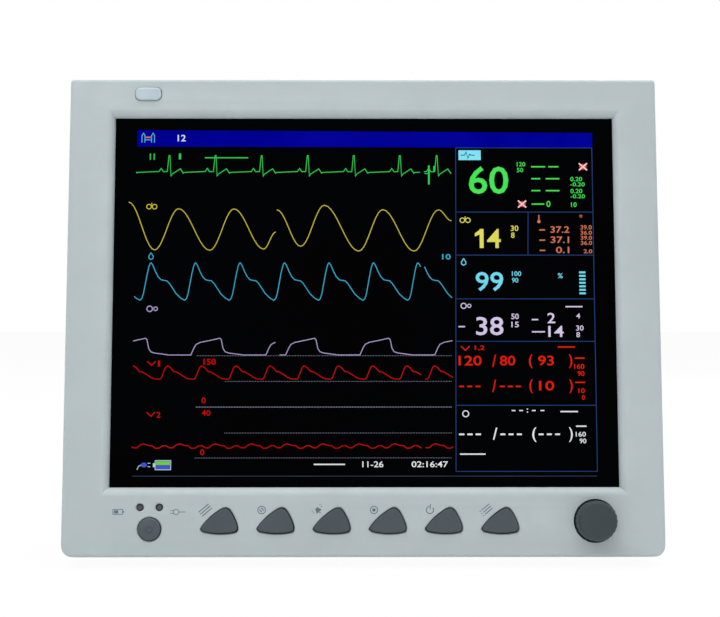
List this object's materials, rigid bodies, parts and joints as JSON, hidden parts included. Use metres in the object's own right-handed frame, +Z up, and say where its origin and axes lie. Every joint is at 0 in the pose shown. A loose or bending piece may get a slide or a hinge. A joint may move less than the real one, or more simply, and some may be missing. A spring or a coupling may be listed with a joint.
{
  "type": "patient monitor",
  "caption": "Bedside patient monitor with a leaning screen bezel, soft keys, a push knob, a folding handle, side sockets and a strip recorder.",
  "frame": {"origin": "centre of the bounding box's footprint, on the surface that the feet stand on", "axes": "+X to the right of the screen as seen from the front, +Y to the back, +Z up; the screen faces -Y and leans back"},
  "size_m": [0.318, 0.1534, 0.2609],
  "materials": {
    "bezel_plastic": "fine matte grain",
    "screen": "clear anti-glare window over black",
    "display": "satin",
    "steel": "satin",
    "circuit_board": "solder mask",
    "lamp_lens": "frosted translucent",
    "led_lens": "smoked, unlit",
    "key_plastic": "fine matte grain",
    "knob_plastic": "soft matte",
    "case_plastic": "fine matte grain",
    "handle_plastic": "fine matte grain",
    "socket_plastic": "satin",
    "black_plastic": "satin",
    "paper": "uncoated paper",
    "rubber": "matte",
    "print_metal": "satin",
    "battery_wrap": "satin film"
  },
  "bodies": {
    "housing": {"front_bezel": "bezel_plastic", "screen_window": "screen", "lcd_panel": "display", "lcd_bracket": "steel", "main_board": "circuit_board", "alarm_lens": "lamp_lens", "charge_indicator": "led_lens", "power_indicator": "led_lens", "key_board": "circuit_board", "encoder_body": "steel", "rear_case": "case_plastic", "handle_pin_left": "steel", "handle_pin_right": "steel", "connector_panel": "handle_plastic", "ecg_socket": "socket_plastic", "spo2_socket": "socket_plastic", "temp_socket_1": "socket_plastic", "temp_socket_2": "socket_plastic", "ibp_socket_1": "socket_plastic", "ibp_socket_2": "socket_plastic", "nibp_coupler": "steel", "co2_port": "black_plastic", "parameter_board": "circuit_board", "recorder_frame": "black_plastic", "recorder_door_pin": "steel", "print_head": "print_metal", "battery_pack": "battery_wrap", "battery_door_pin": "steel", "power_supply_board": "circuit_board", "nibp_pump": "print_metal", "speaker": "black_plastic", "ac_inlet": "black_plastic", "fuse_holder": "black_plastic", "ground_stud": "steel", "network_port": "steel", "foot_1": "rubber", "foot_2": "rubber", "foot_3": "rubber", "foot_4": "rubber", "case_screw_1": "steel", "case_screw_2": "steel", "case_screw_3": "steel", "case_screw_4": "steel"},
    "power_button": {"power_button": "key_plastic"},
    "encoder_shaft": {"encoder_plunger": "steel"},
    "knob": {"knob": "knob_plastic"},
    "handle": {"handle": "handle_plastic"},
    "recorder_door": {"recorder_door": "case_plastic"},
    "recorder_latch": {"recorder_latch": "key_plastic"},
    "paper_roll": {"paper_roll": "paper"},
    "platen": {"platen_roller": "rubber"},
    "battery_door": {"battery_door": "case_plastic"},
    "key_1": {"key_1": "key_plastic"},
    "key_2": {"key_2": "key_plastic"},
    "key_3": {"key_3": "key_plastic"},
    "key_4": {"key_4": "key_plastic"},
    "key_5": {"key_5": "key_plastic"},
    "key_6": {"key_6": "key_plastic"}
  },
  "joints": [
    {"name": "power_press", "type": "slide", "parent": "housing", "child": "power_button", "axis": [0, 0.9925, -0.1219], "range_m": [0, 0.0008], "stiffness_N_per_m": 900},
    {"name": "key_1_press", "type": "slide", "parent": "housing", "child": "key_1", "axis": [0, 0.9925, -0.1219], "range_m": [0, 0.0008], "stiffness_N_per_m": 900},
    {"name": "key_2_press", "type": "slide", "parent": "housing", "child": "key_2", "axis": [0, 0.9925, -0.1219], "range_m": [0, 0.0008], "stiffness_N_per_m": 900},
    {"name": "key_3_press", "type": "slide", "parent": "housing", "child": "key_3", "axis": [0, 0.9925, -0.1219], "range_m": [0, 0.0008], "stiffness_N_per_m": 900},
    {"name": "key_4_press", "type": "slide", "parent": "housing", "child": "key_4", "axis": [0, 0.9925, -0.1219], "range_m": [0, 0.0008], "stiffness_N_per_m": 900},
    {"name": "key_5_press", "type": "slide", "parent": "housing", "child": "key_5", "axis": [0, 0.9925, -0.1219], "range_m": [0, 0.0008], "stiffness_N_per_m": 900},
    {"name": "key_6_press", "type": "slide", "parent": "housing", "child": "key_6", "axis": [0, 0.9925, -0.1219], "range_m": [0, 0.0008], "stiffness_N_per_m": 900},
    {"name": "knob_push", "type": "slide", "parent": "housing", "child": "encoder_shaft", "axis": [0, 0.9925, -0.1219], "range_m": [0, 0.0006], "stiffness_N_per_m": 1500},
    {"name": "knob_spin", "type": "hinge", "parent": "encoder_shaft", "child": "knob", "pos_m": [0.1221, -0.06602, 0.02466], "axis": [0, -0.9925, 0.1219], "continuous": true},
    {"name": "handle_fold", "type": "hinge", "parent": "housing", "child": "handle", "pos_m": [0, 0.00869, 0.244], "axis": [1, 0, 0], "range_deg": [0, 90]},
    {"name": "recorder_door_swing", "type": "hinge", "parent": "housing", "child": "recorder_door", "pos_m": [0.156, 0.02168, 0.0581], "axis": [0, 1, 0], "range_deg": [0, 80]},
    {"name": "recorder_latch_slide", "type": "slide", "parent": "recorder_door", "child": "recorder_latch", "axis": [0, 0, -1], "range_m": [0, 0.002], "stiffness_N_per_m": 250},
    {"name": "paper_roll_spin", "type": "hinge", "parent": "housing", "child": "paper_roll", "pos_m": [0.125, 0.02168, 0.084], "axis": [0, 1, 0], "continuous": true},
    {"name": "platen_spin", "type": "hinge", "parent": "housing", "child": "platen", "pos_m": [0.143, 0.02168, 0.138], "axis": [0, 1, 0], "continuous": true},
    {"name": "battery_door_swing", "type": "hinge", "parent": "housing", "child": "battery_door", "pos_m": [-0.081, 0.06818, 0.0181], "axis": [-1, 0, 0], "range_deg": [0, 85]}
  ],
  "couplings": [
    {"joint": "platen_spin", "follows": "paper_roll_spin", "ratio": 3.6}
  ]
}
